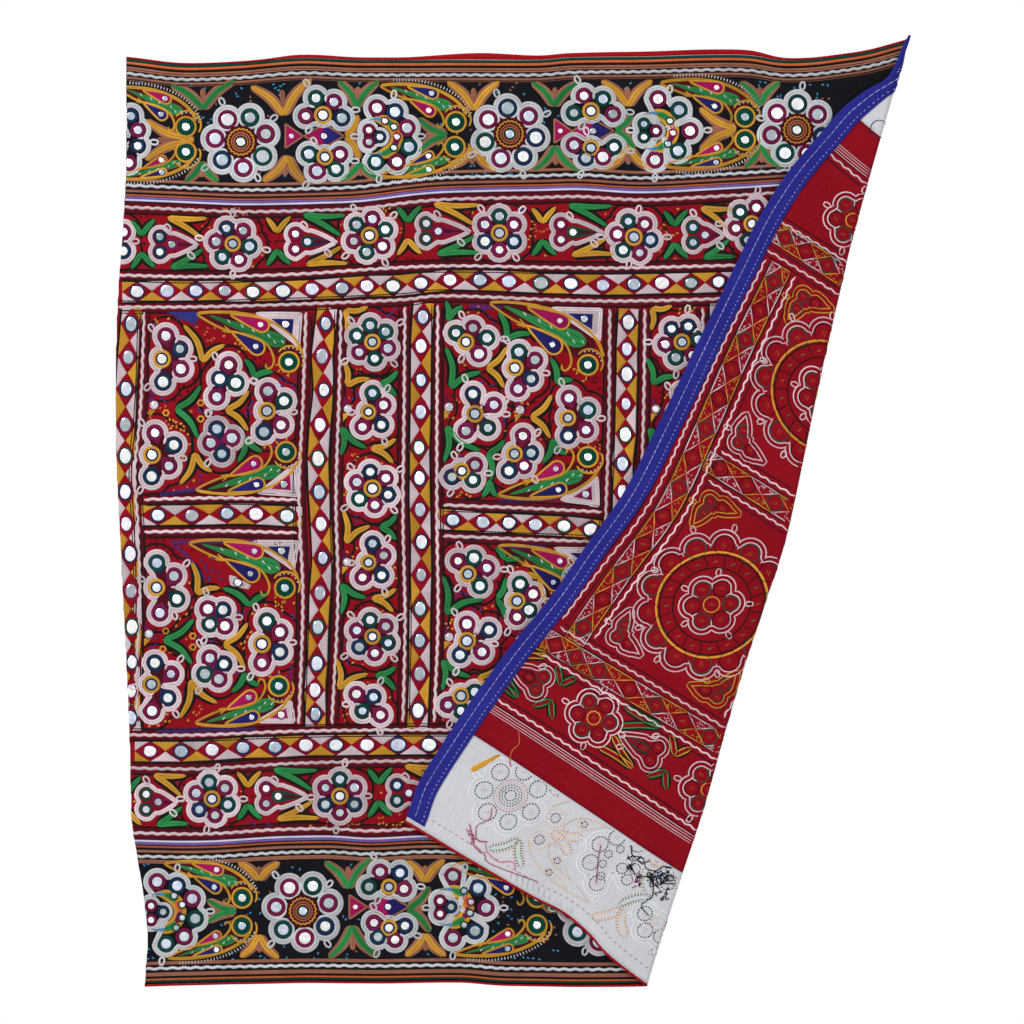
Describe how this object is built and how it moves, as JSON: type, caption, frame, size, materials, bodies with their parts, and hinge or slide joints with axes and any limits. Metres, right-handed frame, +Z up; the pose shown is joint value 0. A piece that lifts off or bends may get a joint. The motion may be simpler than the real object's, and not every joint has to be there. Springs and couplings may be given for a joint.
{
  "type": "embroidered wall hanging",
  "caption": "Mirror-work cotton wall hanging hung by its top edge, one side folded diagonally across the front to show the reverse.",
  "frame": {"origin": "middle of the top edge, where the hanging is held", "axes": "+Z up the cloth, +X to the right as seen from the front, the embroidered face towards -Y"},
  "size_m": [0.9949, 0.0207, 1.1894],
  "materials": {
    "crimson_cotton": "plain woven crimson cotton, densely chain-stitched on the face",
    "black_cotton": "black satin-faced cotton under chain-stitch embroidery",
    "white_calico": "unbleached white calico with the thread ends of the embroidery",
    "red_cotton": "folded red cotton edging",
    "violet_cord": "twisted violet and white cotton cord",
    "blue_cotton": "royal blue cotton facing with two rows of white machine stitching",
    "embroidery_thread": "soft mercerised cotton chain stitch in many colours",
    "mirror_discs": "small hand-cut silvered glass discs"
  },
  "bodies": {
    "root": {"field": "crimson_cotton", "top_border": "black_cotton", "bottom_border": "black_cotton", "top_backing": "white_calico", "bottom_backing": "white_calico", "top_edging": "red_cotton", "bottom_edging": "red_cotton", "top_seam_cord": "violet_cord", "bottom_seam_cord": "violet_cord", "side_binding": "blue_cotton"}
  },
  "joints": []
}
